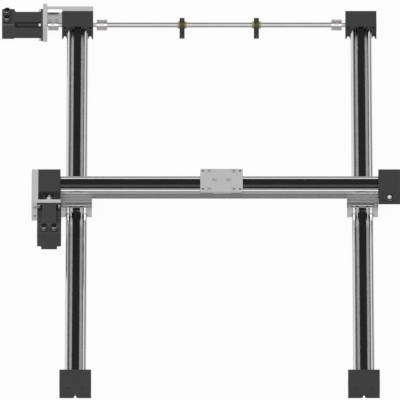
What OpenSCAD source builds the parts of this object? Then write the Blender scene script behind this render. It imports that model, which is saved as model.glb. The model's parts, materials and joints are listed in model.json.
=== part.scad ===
// Flat X-Y gantry of three toothed belt axes: two side axes along Y, coupled by a
// cross shaft, carry a bridge axis along X. Millimetres, +Z up, X along the bridge.
// The origin is the middle of the base bolt pattern, on the plane under the end blocks.

/* [Layout] */
// Distance between the middles of the two side axes
axis_spacing = 673.5; // [560:0.5:900]
// Length of a side axis rail, between its end blocks
side_rail_l = 1143; // [743:5:1543]
// Gap between a side carriage and the bridge's end block beside it
bridge_gap = 0.75; // [0.4:0.05:3]
// Where the tool carriage stands along the bridge, from the middle
tool_rest = 5; // [-150:5:150]

/* [Belt drive] */
// Teeth on every pulley
pulley_teeth = 20; // [18:1:24]
// Tooth pitch of the belt
belt_pitch = 5; // [4.5:0.1:5.5]
// Width of the belt
belt_w = 16; // [10:0.5:18]
// Height of a belt tooth
tooth_h = 1.2; // [0.8:0.05:1.5]
// Width of a belt tooth at its tip
tooth_tip_w = 2.5; // [1.6:0.05:2.6]
// Flank angle of a belt tooth, from straight
tooth_flank = 25; // [15:1:27]
// Depth of the belt's cords over the roots of its teeth
cord_depth = 0.6; // [0.4:0.05:0.8]
// Thickness of the belt's back over its cords
back_t = 0.9; // [0.6:0.05:1.2]
// Gap between the belt and the pulley's outside
belt_seat = 0.1; // [0.05:0.05:0.3]
// Gap between a belt tooth and its groove
mesh_gap = 0.2; // [0.1:0.05:0.4]
// Room between a belt's edges and the pulley's flanges, in all
flange_room = 1; // [0.4:0.1:2]
// Thickness of a pulley flange
flange_t = 1.5; // [1:0.1:1.8]
// Height of a pulley flange over the belt's back
flange_over = 1.1; // [0.5:0.1:1.3]

/* [End blocks] */
// Width of an end block, across its axis
block_w = 74; // [66:1:90]
// Length of an end block, along its axis
block_l = 52; // [44:1:70]
// Wall over and under the belt chamber
block_wall = 2.825; // [2:0.025:6]
// Gap between the belt's back and the chamber
chamber_gap = 1.635; // [1.4:0.005:4]
// Room beside each pulley flange in the chamber
chamber_side = 1.5; // [0.5:0.1:4]
// Height of the pulley's middle over the rail's base
shaft_over_rail = 0.9; // [0:0.1:3]
// Diameter of the shafts that carry the pulleys
journal_d = 10; // [8:0.5:12]
// Outer diameter of a ball bearing
bearing_d = 26; // [22:0.5:28]
// Width of a ball bearing
bearing_w = 8; // [5:0.5:10]
// How deep a ball bearing sits under the block's side
bearing_recess = 2; // [0.5:0.1:3]
// Sideways place of the bracket screws from the block's middle
bracket_bolt_x = 30; // [24:0.5:33]
// Height of the bracket screws over and under the shaft
bracket_bolt_z = 16; // [15.8:0.1:18]
// Diameter of the bracket screws
bracket_bolt_d = 5; // [4:0.5:5.5]
// Width of the slots in the block's lower corners
corner_slot_w = 8; // [5:0.1:9]
// Height of the slots in the block's lower corners
corner_slot_h = 10.5; // [7:0.5:12]
// Depth of the slots in the block's lower corners
corner_slot_l = 9; // [6:0.5:13]
// Width of the pointed notch in the block's outer end
notch_w = 7; // [5:0.5:12]
// Height and depth of the pointed notch
notch_h = 8.5; // [6:0.5:12]
// Diameter of the base holes, tapped M6
base_hole_d = 5; // [4:0.5:6]
// Depth of the base holes
base_hole_l = 10; // [6:0.5:14]
// Distance of a block's base holes, across the axis
base_hole_x = 40; // [34:1:44]
// Distance of a block's base holes, along the axis
base_hole_y = 36; // [30:1:40]
// Diameter of the screws in the block's outer end
end_screw_d = 5; // [3:0.5:5]
// Sideways place of the screws in the block's outer end
end_screw_x = 17.5; // [17:0.5:22]
// Height of those screws over the shaft
end_screw_z = 14; // [10:0.5:16]

/* [Rails] */
// Diameter of the guide shafts
guide_d = 10; // [8:0.5:12]
// Distance between the two guide shafts of a rail
guide_gauge = 40; // [39:0.5:42]
// Height of the guide shafts' middle over the rail's base
guide_z = 9; // [8.5:0.1:10]
// Width of the rail's foot
foot_w = 44; // [43:0.5:47]
// Thickness of the rail's foot
foot_t = 1.8; // [1.2:0.1:2.2]
// Width of the raised middle of the rail
land_w = 26; // [20:0.5:28]
// Height of the raised middle of the rail
land_h = 4.1; // [3:0.1:5]
// Width of the ribs under the guide shafts
rib_w = 4; // [2.5:0.1:5]
// Gap between a guide shaft and its seat
seat_gap = 0.1; // [0.05:0.05:0.2]
// Width of the belt channel under a rail
channel_w = 40; // [36:1:60]
// Floor thickness of the belt channel
channel_wall = 1.7; // [1.2:0.1:3]
// Gap between the belt and the channel's floor
strand_gap = 0.885; // [0.4:0.005:2]
// Width of the grooves in the channel's sides
channel_groove = 1.5; // [0.8:0.1:2]

/* [Carriages] */
// Width of a carriage, across its rail
carriage_w = 73; // [68:0.5:84]
// Length of a carriage, along its rail
carriage_l = 100; // [90:1:140]
// Thickness of a carriage plate
plate_t = 6; // [5.5:0.1:10]
// Gap between a belt's back and the plate over it
belt_gap = 0.285; // [0.25:0.005:1]
// Length of a bearing housing, along the rail
housing_l = 29; // [24:0.5:31]
// Gap between the two housings beside the belt
housing_gap = 21.6; // [19:0.1:24]
// Gap under a bearing housing
housing_clear = 0.6; // [0.4:0.1:1]
// Wall of the sliding liner round a guide shaft
liner_wall = 0.95; // [0.6:0.05:1.5]
// Running gap between a liner and its guide shaft
liner_gap = 0.05; // [0.02:0.01:0.1]
// Gap beside the rib in the housing's slot
rib_gap = 1; // [0.6:0.1:1.2]
// Distance of the tapped plate holes, along the rail
plate_hole_l = 87; // [84:0.5:90]
// Distance of the tapped plate holes, across the rail
plate_hole_w = 60; // [58:0.5:62]
// Diameter of the plate holes, tapped M6
plate_hole_d = 5; // [4:0.5:6]
// Distance of the housing screws, along the rail
housing_screw_l = 58; // [54:0.5:62]
// Diameter of the housing screws
housing_screw_d = 5; // [4:0.5:5]
// Diameter of the two belt clamp discs in the plate
disc_d = 12; // [8:0.5:14]
// Distance of the two belt clamp discs, along the rail
disc_l = 33.2; // [30:0.1:40]
// Width of the toothed belt jaw, across the rail
jaw_w = 28; // [26:0.5:29]
// Length of the toothed belt jaw, along the rail
jaw_l = 34; // [20:1:40]
// Gap between the jaw's teeth and the belt
jaw_gap = 0.3; // [0.2:0.05:0.5]
// Diameter of the jaw's screws
jaw_screw_d = 3; // [2:0.5:3]
// Thickness of the plates between side carriages and bridge
adapter_t = 10.4; // [8:0.1:16]
// Width of those plates, along the bridge
adapter_w = 73.6; // [70:0.1:74]
// Diameter of the dowel holes in those plates
dowel_d = 4.4; // [3:0.1:6]
// Distance of the dowel holes, along the bridge
dowel_x = 24.8; // [16:0.1:30]
// Distance of the dowel holes, across the bridge
dowel_y = 90.6; // [86:0.1:92]

/* [Motors] */
// Side of the square motor flange
motor_w = 56.4; // [54:0.2:60]
// Length of a motor behind its mounting face
motor_l = 97; // [80:1:130]
// Thickness of the motor flange
motor_flange_t = 4.8; // [4:0.1:6]
// Corner radius of the motor flange
motor_corner_r = 4; // [2:0.5:5]
// Side of the square notches along the motor's corners
motor_notch = 12.2; // [10:0.1:13]
// Radius inside those notches
motor_notch_r = 2.5; // [0.5:0.1:4]
// Length of the motor's rear housing, before its slopes
rear_l = 29; // [26:0.5:40]
// Length of the slopes from the rear housing to the notches
rear_slope_l = 7.5; // [3:0.5:12]
// Bevel along the rear housing's upper edges
rear_bevel = 2.6; // [1:0.1:5]
// Side of the notches under the rear housing
rear_notch = 9.6; // [7:0.1:12]
// Distance of the motor's fixing holes from the flange's edges
motor_hole_in = 4.63; // [4.2:0.01:5.2]
// Diameter of the motor's fixing screws
motor_screw_d = 5; // [4:0.5:5]
// Diameter of the motor's centring boss
pilot_d = 38.1; // [34:0.1:39]
// Diameter of the motor shaft
motor_shaft_d = 8; // [6:0.1:9]
// Diameter of a motor's rotor
rotor_d = 34; // [28:0.5:36]
// Length of a motor's rotor
rotor_l = 60; // [40:1:62]
// Gap between the rotor and the stator round it
air_gap = 0.4; // [0.3:0.05:0.8]
// Distance between a motor's two connectors
connector_s = 23.4; // [20:0.1:30]
// Diameter of a connector
connector_d = 15; // [12:0.5:18]
// Height of a connector
connector_h = 12; // [8:0.5:18]
// Wall of a connector's shell
connector_wall = 3; // [2:0.1:4]
// Diameter of a connector's contact pins
connector_pin_d = 1.2; // [0.8:0.1:1.6]
// Place of the connectors from the motor's rear end
connector_back = 12; // [10:0.5:20]
// Thickness of the motor plate
motor_plate_t = 10.4; // [8:0.1:14]
// Height of the motor plate
motor_plate_h = 60; // [58:1:70]
// Distance between the block's side and the motor plate
motor_plate_off = 35; // [34:0.5:50]
// Thickness of the bracket's end plate
end_plate_t = 15.6; // [12:0.1:20]
// Height of the screws that join the two bracket plates
plate_screw_z = 14; // [10:0.5:18]

/* [Cross shaft] */
// Diameter of the cross shaft
cross_d = 12; // [10:0.5:12]
// Outer diameter of a coupling
coupling_d = 26; // [22:0.5:30]
// Length of a coupling hub without its jaws
hub_l = 7.75; // [6:0.25:9]
// Length of a coupling's elastic spider
spider_l = 9; // [7:0.5:10]
// Angle that one coupling jaw takes
jaw_angle = 28; // [22:1:34]
// Gap between a block's side and its coupling
coupling_off = 8.5; // [6:0.5:9]
// Distance between the two shaft supports
support_spacing = 176.7; // [120:0.1:400]
// Thickness of a shaft support
support_t = 12; // [8:0.5:16]
// Outer radius of a shaft support's eye
eye_r = 17; // [15:0.5:19]
// Length of a shaft support's foot
support_foot_l = 50; // [48:1:70]
// Thickness of a shaft support's foot
support_foot_t = 5; // [4:0.5:8]
// Distance of the holes in a shaft support's foot
support_hole_s = 42; // [42:0.5:60]
// Diameter of the holes in a shaft support's foot
support_hole_d = 5.5; // [4:0.5:6]
// Outer diameter of the bush in a shaft support
bush_d = 17; // [15:0.5:20]
// How far the bush stands out of its support
bush_out = 4.5; // [2:0.5:6]

/* [Fits] */
// Running gap round a turning shaft
run_gap = 0.05; // [0.02:0.01:0.1]
// Gap of a fixed fit, such as a hub on its shaft
fit_gap = 0.05; // [0.02:0.01:0.1]
// Gap round a screw's head or shank
screw_gap = 0.15; // [0.1:0.05:0.3]

/* [Hidden] */
$fn = 48;
eps = 0.5;

// belt and pulley sizes, as radii from the pulley's middle
pitch_r = pulley_teeth * belt_pitch / (2 * PI);
land_r = pitch_r - cord_depth;
back_r = pitch_r + back_t;
pulley_r = land_r - belt_seat;
flange_r = back_r + flange_over;
pulley_w = belt_w + flange_room;
pitch_angle = 360 / pulley_teeth;
tooth_tip = tooth_tip_w / 2;
tooth_root = tooth_tip + tooth_h * tan(tooth_flank);

// end block
chamber_r = back_r + chamber_gap;
chamber_w = pulley_w + 2 * (flange_t + chamber_side);
block_h = 2 * (chamber_r + block_wall);
bearing_seat = bearing_w + bearing_recess;
notch_ring_r = notch_h * 0.8;
notch_sink = 0.5;
journal_room = 1;
end_screw_sink = 6;

// heights, over the rail's base of one axis
carriage_under = shaft_over_rail + back_r + belt_gap;
carriage_top = carriage_under + plate_t;
channel_h = back_r - shaft_over_rail + strand_gap + channel_wall;
housing_z = foot_t + housing_clear;
liner_r = guide_d / 2 + liner_gap + liner_wall;
jaw_z = land_h + 0.9;
jaw_cheek = (jaw_w + belt_w) / 4;

// places of the three axes
rail_z = block_h / 2 - shaft_over_rail;
adapter_z = rail_z + carriage_top;
bridge_z = adapter_z + adapter_t + channel_h;
bridge_rail_l = axis_spacing + carriage_w + 2 * bridge_gap;
side_l = side_rail_l + block_l;
bridge_l = bridge_rail_l + block_l;

// motor side of a drive end
plate_x = block_w / 2 + motor_plate_off;
motor_x = plate_x + motor_plate_t;
plate_y0 = -27;
plate_y1 = block_l / 2 + end_plate_t;
coupling_l = 2 * hub_l + spider_l;
motor_hub_x = block_w / 2 + coupling_off + coupling_l;
spider_gap = 0.15;
jaws = 3;
pilot_t = 1.6;
motor_seam = 0.6;
motor_hole_s = motor_w - 2 * motor_hole_in;
hub_depth = hub_l - 0.3;
cross_hub_x = axis_spacing / 2 - block_w / 2 - coupling_off;

// screws: head diameter, head height and socket over the shank's diameter
function head_d(d) = 1.7 * d;
function head_h(d) = d;
sink_t = 2.7;

// ---------- places ----------
module on_left() { translate([-axis_spacing / 2, 0, rail_z]) children(); }
module on_right() { translate([axis_spacing / 2, 0, rail_z]) children(); }
module on_sides() { on_left() children(); on_right() children(); }
module on_bridge() { translate([0, 0, bridge_z]) rotate([0, 0, 90]) children(); }
module at_tool() { on_bridge() translate([0, -tool_rest, 0]) children(); }
module at_cross() { translate([0, side_l / 2, rail_z + shaft_over_rail]) children(); }
module at_drive(l) { translate([0, l / 2, shaft_over_rail]) children(); }
module at_idler(l) { translate([0, -l / 2, shaft_over_rail]) rotate([0, 0, 180]) children(); }
// lays a profile drawn in the Y-Z plane along X, centred on it
module along_x(w) { rotate([90, 0, 90]) linear_extrude(w, center = true) children(); }
// lays a profile drawn in the X-Z plane along Y, centred on it
module along_y(l) { rotate([90, 0, 0]) linear_extrude(l, center = true) children(); }
module rod_x(r, l) { rotate([0, 90, 0]) cylinder(r = r, h = l, center = true); }
module rod_y(r, l) { rotate([90, 0, 0]) cylinder(r = r, h = l, center = true); }
module box_at(x, y, z, size) { translate([x, y, z]) cube(size, center = true); }
module four(x, y) { for (i = [-1, 1], j = [-1, 1]) translate([i * x / 2, j * y / 2, 0]) children(); }

// ---------- screws, along Z with the head's top at 0 and the shank below ----------
module cap_screw(d, l) {
    difference() {
        union() {
            translate([0, 0, -head_h(d)]) cylinder(d = head_d(d), h = head_h(d));
            translate([0, 0, -head_h(d) - l]) cylinder(d = d, h = l + eps);
        }
        translate([0, 0, -0.6 * d]) cylinder(d = 0.95 * d, h = d, $fn = 6);
    }
}
module flat_screw(d, l) {
    difference() {
        union() {
            translate([0, 0, -sink_t]) cylinder(r1 = d / 2, r2 = d / 2 + sink_t, h = sink_t);
            translate([0, 0, -l]) cylinder(d = d, h = l - sink_t + 0.01);
        }
        translate([0, 0, -0.45 * d]) cylinder(d = 0.7 * d, h = d, $fn = 6);
    }
}
module flat_sink(d, depth) {
    translate([0, 0, -sink_t]) cylinder(r1 = d / 2 + screw_gap, r2 = d / 2 + sink_t + screw_gap, h = sink_t);
    translate([0, 0, -0.01]) cylinder(r = d / 2 + sink_t + screw_gap, h = 1);
    translate([0, 0, -depth]) cylinder(r = d / 2 + screw_gap, h = depth);
}

// ---------- rail ----------
module rail_body(l) {
    along_y(l) difference() {
        union() {
            translate([-foot_w / 2, 0]) square([foot_w, foot_t]);
            translate([-land_w / 2, 0]) square([land_w, land_h]);
            for (s = [-1, 1])
                translate([s * guide_gauge / 2 - rib_w / 2, 0]) square([rib_w, guide_z - guide_d / 4]);
        }
        for (s = [-1, 1])
            translate([s * guide_gauge / 2, guide_z]) circle(r = guide_d / 2 + seat_gap);
        // shallow mark along the middle of the land
        translate([0, land_h]) square([1.2, 0.8], center = true);
    }
}
module guide_shafts(l) {
    for (s = [-1, 1]) translate([s * guide_gauge / 2, 0, guide_z]) rod_y(guide_d / 2, l);
}
module belt_channel(l) {
    side_wall = 3;
    groove_deep = 1.2;
    web = 2;
    roof_t = 2;
    room = belt_w / 2 + 1.5;
    side_w = channel_w / 2 - side_wall - room - web;
    along_y(l) difference() {
        translate([-channel_w / 2, -channel_h]) square([channel_w, channel_h]);
        translate([-room, channel_wall - channel_h]) square([2 * room, channel_h - channel_wall - roof_t]);
        for (s = [-1, 1]) {
            translate([s * (room + web + side_w / 2), -channel_h / 2])
                square([side_w, channel_h - 2 * roof_t], center = true);
            for (z = [-channel_h / 4, -3 * channel_h / 4])
                translate([s * channel_w / 2, z]) square([2 * groove_deep, channel_groove], center = true);
        }
    }
}

// ---------- end block: rail side towards -Y, shaft along X at the origin ----------
// pointed opening at the base line: upright sides up to a share of its height, then a rounded point
module slot_profile(w, h, upright) {
    tip = 1;
    polygon([
        [-w / 2, -eps], [-w / 2, h * upright], [-tip, h - tip], [tip, h - tip],
        [w / 2, h * upright], [w / 2, -eps]
    ]);
    translate([0, h - tip]) circle(r = tip);
}
module end_block(drive) {
    base = -block_h / 2;
    bolt_way = bracket_bolt_d / 2 + screw_gap;
    difference() {
        cube([block_w, block_l, block_h], center = true);
        // belt chamber, open towards the rail
        rod_x(chamber_r, chamber_w);
        box_at(0, -block_l / 4 - eps / 2, 0, [chamber_w, block_l / 2 + eps, 2 * chamber_r]);
        // shaft way and the two bearing seats
        rod_x(journal_d / 2 + journal_room, block_w + 2);
        for (s = [-1, 1])
            translate([s * (block_w / 2 - bearing_seat / 2 + eps), 0, 0])
                rod_x(bearing_d / 2 + fit_gap, bearing_seat + 2 * eps);
        // slots in the lower corners of the rail side
        for (s = [-1, 1])
            translate([s * bracket_bolt_x, -block_l / 2 + corner_slot_l / 2 - eps, base])
                along_y(corner_slot_l + 2 * eps) slot_profile(corner_slot_w, corner_slot_h, 0.3);
        // pointed notch in the outer end, in a shallow round recess
        translate([0, block_l / 2 - notch_h / 2 + eps, base])
            along_y(notch_h + 2 * eps) slot_profile(notch_w, notch_h, 0);
        translate([0, block_l / 2, base + notch_h / 3]) rod_y(notch_ring_r, 2 * notch_sink);
        // tapped base holes
        translate([0, 0, base - eps]) four(base_hole_x, base_hole_y)
            cylinder(d = base_hole_d, h = base_hole_l + eps);
        // bracket screw holes: the upper ones run through
        if (drive) for (s = [-1, 1]) {
            translate([s * bracket_bolt_x, 0, bracket_bolt_z]) rod_y(bolt_way, block_l + 2);
            translate([s * bracket_bolt_x, block_l / 2 - 8, -bracket_bolt_z]) rod_y(bolt_way, 17);
        }
        // sunk screws in the outer end
        if (!drive) for (s = [-1, 1]) translate([s * end_screw_x, block_l / 2, end_screw_z]) {
            rod_y(head_d(end_screw_d) / 2 + screw_gap, 2 * end_screw_sink);
            rod_y(end_screw_d / 2 + screw_gap, 2 * end_screw_sink + 20);
        }
    }
}
module end_screws() {
    for (s = [-1, 1])
        translate([s * end_screw_x, block_l / 2 - end_screw_sink + head_h(end_screw_d), end_screw_z])
            rotate([-90, 0, 0]) cap_screw(end_screw_d, 9);
}
module bearing_ring() {
    groove = [bearing_d * 0.27, bearing_d * 0.42];
    difference() {
        rod_x(bearing_d / 2, bearing_w);
        rod_x(journal_d / 2 + run_gap, bearing_w + 1);
        for (s = [-1, 1]) translate([s * bearing_w / 2, 0, 0]) difference() {
            rod_x(groove[1], 0.8);
            rod_x(groove[0], 1.8);
        }
    }
}
module block_bearings(l) {
    for (s = [-1, 1]) {
        x = s * (block_w / 2 - bearing_recess - bearing_w / 2);
        at_drive(l) translate([x, 0, 0]) bearing_ring();
        at_idler(l) translate([x, 0, 0]) bearing_ring();
    }
}

// ---------- toothed belt and pulley ----------
// one tooth as [place along the belt, height over the land], grown by g all round
function tooth(g) = [
    [-tooth_root - g, 0], [-tooth_tip - g, -tooth_h - g],
    [tooth_tip + g, -tooth_h - g], [tooth_root + g, 0]
];
// teeth of a straight strand from y to y + d * n pitches, on side s of the shaft line
function strand(y, d, s, n, pitch) = [
    for (k = [0 : n], p = tooth(0)) [y + d * (k * pitch + p[0]), s * (land_r + p[1])]
];
// teeth round a pulley at y, clockwise from angle a, without the two on the strands
function wrap(y, a, n) = [
    for (k = [1 : n - 1], p = tooth(0))
        let (t = a - k * 180 / n, r = p[1] < 0 ? land_r + p[1] : sqrt(land_r * land_r - p[0] * p[0]))
            [y + r * cos(t) + p[0] * sin(t), r * sin(t) - p[0] * cos(t)]
];
function strand_teeth(l) = round(l / belt_pitch);
module belt(l) {
    n = strand_teeth(l);
    half = pulley_teeth / 2;
    translate([0, 0, shaft_over_rail]) along_x(belt_w) difference() {
        union() {
            for (s = [-1, 1]) translate([s * l / 2, 0]) circle(r = back_r);
            square([l, 2 * back_r], center = true);
        }
        polygon(concat(
            strand(-l / 2, 1, 1, n, l / n), wrap(l / 2, 90, half),
            strand(l / 2, -1, -1, n, l / n), wrap(-l / 2, 270, half)
        ));
    }
}
// one groove, open outwards, for a tooth on a land at height h
module groove(h) {
    t = tooth(mesh_gap);
    polygon([
        [t[1][0], h + t[1][1]], [t[0][0], h], [t[0][0] - 0.3, h + 1],
        [t[3][0] + 0.3, h + 1], [t[3][0], h], [t[2][0], h + t[2][1]]
    ]);
}
module pulley() {
    difference() {
        union() {
            along_x(pulley_w) difference() {
                circle(r = pulley_r);
                for (k = [0 : pulley_teeth - 1]) rotate(k * pitch_angle) groove(land_r);
            }
            for (s = [-1, 1]) translate([s * (pulley_w + flange_t) / 2, 0, 0]) rod_x(flange_r, flange_t);
        }
        rod_x(journal_d / 2 + fit_gap, pulley_w + 2 * flange_t + 1);
    }
}
// shaft along X between two places
module shaft_between(x0, x1, r) {
    translate([(x0 + x1) / 2, 0, 0]) rod_x(r, x1 - x0);
}
journal_end = block_w / 2 - bearing_recess;
journal_out = block_w / 2 + coupling_off + hub_depth;

// ---------- jaw coupling, along X from its hub face at 0 to coupling_l ----------
module sector(r0, r1, a, h) {
    rotate_extrude(angle = a) translate([r0, 0]) square([r1 - r0, h]);
}
module coupling_hub(bore_d, turn) {
    wide = coupling_d;
    rotate([0, 90, 0]) difference() {
        cylinder(d = coupling_d, h = hub_l + spider_l - spider_gap);
        // what is cut away between the three jaws
        translate([0, 0, hub_l]) linear_extrude(spider_l) difference() {
            circle(r = coupling_d / 2 + 1);
            for (k = [1 : jaws]) rotate(turn + k * 360 / jaws) difference() {
                polygon([[0, 0], [wide, -wide * tan(jaw_angle / 2)], [wide, wide * tan(jaw_angle / 2)]]);
                circle(d = coupling_d / 2);
            }
        }
        translate([0, 0, -1]) cylinder(r = bore_d / 2 + fit_gap, h = hub_l + 2);
        // grub screw hole
        translate([0, 0, hub_l / 2]) rotate([0, 90, turn + 180 / jaws]) cylinder(d = 3.3, h = coupling_d);
    }
}
module coupling_pair(bore_near, bore_far) {
    coupling_hub(bore_near, 0);
    translate([coupling_l, 0, 0]) mirror([1, 0, 0]) coupling_hub(bore_far, 180 / jaws);
}
module coupling_spider() {
    jaw_r = 0.5 * coupling_d / 2;
    lobe = 180 / jaws - jaw_angle - 1.6;
    translate([hub_l + spider_gap, 0, 0]) rotate([0, 90, 0]) difference() {
        union() {
            cylinder(r = jaw_r - 0.15, h = spider_l - 2 * spider_gap);
            for (k = [1 : 2 * jaws]) rotate((k - 0.5) * 180 / jaws - lobe / 2)
                sector(jaw_r - 1, coupling_d / 2 - 0.4, lobe, spider_l - 2 * spider_gap);
        }
        translate([0, 0, -1]) cylinder(r = jaw_r - 2.6, h = spider_l + 2);
    }
}

// ---------- motor: mounting face at 0 towards +Z, +Y up ----------
module in_motor_frame() { translate([-motor_x, 0, 0]) rotate([90, 0, 90]) children(); }
module rounded_square(w, r) {
    square([w, w - 2 * r], center = true);
    square([w - 2 * r, w], center = true);
    four(w - 2 * r, w - 2 * r) circle(r = r);
}
module motor() {
    half = motor_w / 2;
    slope_z = rear_l - motor_l;
    difference() {
        union() {
            cylinder(d = pilot_d, h = pilot_t);
            translate([0, 0, -motor_flange_t]) linear_extrude(motor_flange_t)
                rounded_square(motor_w, motor_corner_r);
            translate([0, 0, -motor_l]) linear_extrude(motor_l - motor_flange_t + 0.01)
                square(motor_w, center = true);
        }
        // notches along the four corners; two slopes end each of the upper ones
        for (i = [-1, 1], j = [-1, 1]) translate([i * half, j * half, 0]) {
            z0 = j > 0 ? slope_z + rear_slope_l : slope_z;
            translate([0, 0, z0]) linear_extrude(-motor_flange_t - z0)
                rounded_square(2 * motor_notch, motor_notch_r);
            if (j > 0) {
                intersection() {
                    translate([0, 0, slope_z]) linear_extrude(rear_slope_l + eps)
                        rounded_square(2 * motor_notch, motor_notch_r);
                    rotate([90, 0, -90 - i * 45]) linear_extrude(4 * motor_notch, center = true) polygon([
                        [-2 * motor_notch, slope_z], [rear_bevel / sqrt(2), slope_z],
                        [motor_notch * sqrt(2), z0 + eps], [-2 * motor_notch, z0 + eps]
                    ]);
                }
                translate([0, 0, -motor_l - 1]) rotate(i * 45)
                    cube([rear_bevel * sqrt(2), 2 * half, 2 * (motor_l - motor_flange_t)], center = true);
            }
            if (j < 0) translate([0, 0, -motor_l - 1]) linear_extrude(rear_l + 1)
                rounded_square(2 * rear_notch, motor_notch_r);
        }
        // seam between the rear housing and the body, all round
        translate([0, 0, slope_z - motor_seam]) difference() {
            cube([motor_w + 1, motor_w + 1, motor_seam], center = true);
            cube([motor_w - 2 * motor_seam, motor_w - 2 * motor_seam, 1], center = true);
        }
        translate([0, 0, -motor_flange_t - 1]) four(motor_hole_s, motor_hole_s)
            cylinder(r = motor_screw_d / 2 + screw_gap, h = motor_flange_t + 2);
        // room for the rotor and its shaft
        translate([0, 0, -rotor_l - 14]) cylinder(r = rotor_d / 2 + air_gap, h = rotor_l + 2);
        translate([0, 0, -20]) cylinder(r = motor_shaft_d / 2 + run_gap, h = 24);
    }
}
module motor_rotor() {
    rotate_extrude() polygon([
        [0, -rotor_l - 13], [rotor_d / 2, -rotor_l - 13], [rotor_d / 2, -13], [motor_shaft_d / 2, -13],
        [motor_shaft_d / 2, motor_x - motor_hub_x + hub_depth], [0, motor_x - motor_hub_x + hub_depth]
    ]);
}
// one socket, standing on the motor's top, with four contact pins inside its shell
module connector() {
    floor_z = 3.5;
    difference() {
        union() {
            cylinder(d = connector_d, h = connector_h);
            cylinder(d = connector_d + 1.4, h = 3);
            translate([0, 0, connector_h * 0.62]) cylinder(d = connector_d + 0.9, h = connector_h * 0.16);
        }
        difference() {
            translate([0, 0, floor_z]) cylinder(d = connector_d - 2 * connector_wall, h = connector_h);
            for (k = [0 : 3]) rotate(45 + 90 * k) translate([connector_d / 7, 0, 0])
                cylinder(d = connector_pin_d, h = connector_h - 3, $fn = 16);
        }
    }
}
module motor_connectors() {
    for (s = [-1, 1]) translate([s * connector_s / 2, motor_w / 2, connector_back - motor_l])
        rotate([-90, 0, 0]) connector();
}
module motor_screws() {
    translate([0, 0, -motor_flange_t - head_h(motor_screw_d)]) four(motor_hole_s, motor_hole_s)
        mirror([0, 0, 1]) cap_screw(motor_screw_d, motor_flange_t + 7);
}
// plate that carries the motor, in the drive block's frame
module motor_plate() {
    w = plate_y1 - plate_y0;
    translate([-plate_x, 0, 0]) difference() {
        translate([-motor_plate_t, plate_y0, -motor_plate_h / 2]) cube([motor_plate_t, w, motor_plate_h]);
        rod_x(pilot_d / 2 + fit_gap, 2 * motor_plate_t + 2);
        rotate([90, 0, 90]) four(motor_hole_s, motor_hole_s)
            cylinder(r = motor_screw_d / 2 + screw_gap, h = 2 * motor_plate_t + 2, center = true);
        for (s = [-1, 1]) translate([-motor_plate_t, plate_y1 - end_plate_t / 2, s * plate_screw_z]) {
            rod_x(head_d(bracket_bolt_d) / 2 + screw_gap, 2 * head_h(bracket_bolt_d));
            rod_x(bracket_bolt_d / 2 + screw_gap, 2 * motor_plate_t + 2);
        }
    }
}
module bracket_end_plate() {
    difference() {
        translate([-plate_x, block_l / 2, -block_h / 2]) cube([plate_x + block_w / 2, end_plate_t, block_h]);
        for (i = [-1, 1], j = [-1, 1]) translate([i * bracket_bolt_x, plate_y1, j * bracket_bolt_z]) {
            rod_y(head_d(bracket_bolt_d) / 2 + screw_gap, 2 * head_h(bracket_bolt_d));
            rod_y(bracket_bolt_d / 2 + screw_gap, 2 * end_plate_t + 2);
        }
        for (s = [-1, 1]) translate([-plate_x, plate_y1 - end_plate_t / 2, s * plate_screw_z])
            rod_x(bracket_bolt_d / 2 + screw_gap, 30);
    }
}
module bracket_screws() {
    for (i = [-1, 1], j = [-1, 1]) translate([i * bracket_bolt_x, plate_y1, j * bracket_bolt_z])
        rotate([-90, 0, 0]) cap_screw(bracket_bolt_d, end_plate_t + 4);
    for (s = [-1, 1]) translate([-motor_x, plate_y1 - end_plate_t / 2, s * plate_screw_z])
        rotate([0, -90, 0]) cap_screw(bracket_bolt_d, motor_plate_t + 6);
}

// ---------- carriage, over the middle of its rail ----------
module carriage_plate() {
    difference() {
        translate([-carriage_w / 2, -carriage_l / 2, carriage_under])
            cube([carriage_w, carriage_l, plate_t]);
        translate([0, 0, carriage_top]) four(plate_hole_w, housing_screw_l)
            flat_sink(housing_screw_d, plate_t + 1);
        translate([0, 0, carriage_under - eps]) {
            four(plate_hole_w, plate_hole_l) cylinder(d = plate_hole_d, h = plate_t + 1);
            for (s = [-1, 1]) translate([0, s * disc_l / 2, 0])
                cylinder(r = disc_d / 2 + screw_gap, h = plate_t + 1);
            four(2 * jaw_cheek, jaw_l * 0.7)
                cylinder(r = jaw_screw_d / 2 + screw_gap, h = plate_t / 2 + eps);
        }
    }
}
module housing_profile(s) {
    side = carriage_w / 2;
    x = guide_gauge / 2;
    difference() {
        polygon([for (p = [
            [housing_gap / 2, land_h + housing_clear], [x - rib_w / 2 - rib_gap, land_h + housing_clear],
            [x - rib_w / 2 - rib_gap, housing_z], [side, housing_z],
            [side, carriage_under], [housing_gap / 2, carriage_under]
        ]) [s * p[0], p[1]]]);
        translate([s * x, guide_z]) circle(r = liner_r + fit_gap);
        translate([s * x - rib_w / 2 - rib_gap, 0]) square([rib_w + 2 * rib_gap, guide_z]);
    }
}
module bearing_housings() {
    for (s = [-1, 1], j = [-1, 1]) translate([0, j * (carriage_l - housing_l) / 2, 0]) difference() {
        along_y(housing_l) housing_profile(s);
        // holes under the plate's screws, blind from above
        translate([s * plate_hole_w / 2, j * (housing_l - carriage_l) / 2, carriage_under - 11]) {
            translate([0, j * housing_screw_l / 2, 0]) cylinder(r = housing_screw_d / 2 + screw_gap, h = 12);
            translate([0, j * plate_hole_l / 2, 0]) cylinder(d = plate_hole_d, h = 12);
        }
    }
}
module bearing_liners() {
    four(guide_gauge, carriage_l - housing_l) along_y(housing_l - 2) difference() {
        translate([0, guide_z]) circle(r = liner_r);
        translate([0, guide_z]) circle(r = guide_d / 2 + liner_gap);
        translate([-rib_w / 2 - rib_gap, 0]) square([rib_w + 2 * rib_gap, guide_z]);
    }
}
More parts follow.
